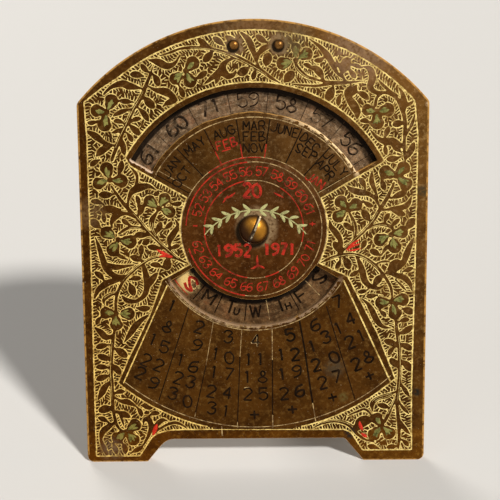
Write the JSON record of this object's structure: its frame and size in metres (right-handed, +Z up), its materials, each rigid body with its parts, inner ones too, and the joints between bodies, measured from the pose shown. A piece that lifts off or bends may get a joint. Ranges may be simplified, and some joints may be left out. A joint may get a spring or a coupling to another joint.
{
  "type": "perpetual desk calendar",
  "caption": "Arched brass desk plate on two feet, with a turning calendar disc behind two curved windows and a hinged easel strut.",
  "frame": {"origin": "on the ground, in the middle of the plate's width and half way between the feet's front edge and the strut's foot", "axes": "+Z up, +X to the right as seen from the front, the face looks towards -Y and leans back towards +Y"},
  "size_m": [0.098, 0.056, 0.1242],
  "materials": {
    "patinated_brass": "engraved, darkened with age, with yellow, red, green and black fillings",
    "tinned_brass": "tinned, dull, engraved with black numbers",
    "turned_brass": "worn, satin",
    "sheet_brass": "aged, brushed",
    "spring_steel": "oiled"
  },
  "bodies": {
    "face": {"front_plate": "patinated_brass", "centre_screw": "turned_brass", "spacer_washer": "sheet_brass", "pivot_bush": "turned_brass", "spring_washer": "spring_steel", "back_washer": "sheet_brass", "centre_nut": "turned_brass", "lock_nut": "turned_brass", "hinge_leaf": "sheet_brass", "hinge_rivets": "turned_brass", "hinge_pin": "turned_brass"},
    "disc": {"calendar_disc": "tinned_brass"},
    "strut": {"strut_leaf": "sheet_brass", "strut_rivets": "turned_brass", "easel_strut": "sheet_brass"}
  },
  "joints": [
    {"name": "disc_turn", "type": "hinge", "parent": "face", "child": "disc", "pos_m": [0, -0.01037, 0.06619], "axis": [0, -0.9781, 0.2079], "continuous": true},
    {"name": "strut_fold", "type": "hinge", "parent": "face", "child": "strut", "pos_m": [0.0011, 0.00082, 0.11135], "axis": [-1, 0, 0], "range_deg": [0, 19.9]}
  ]
}
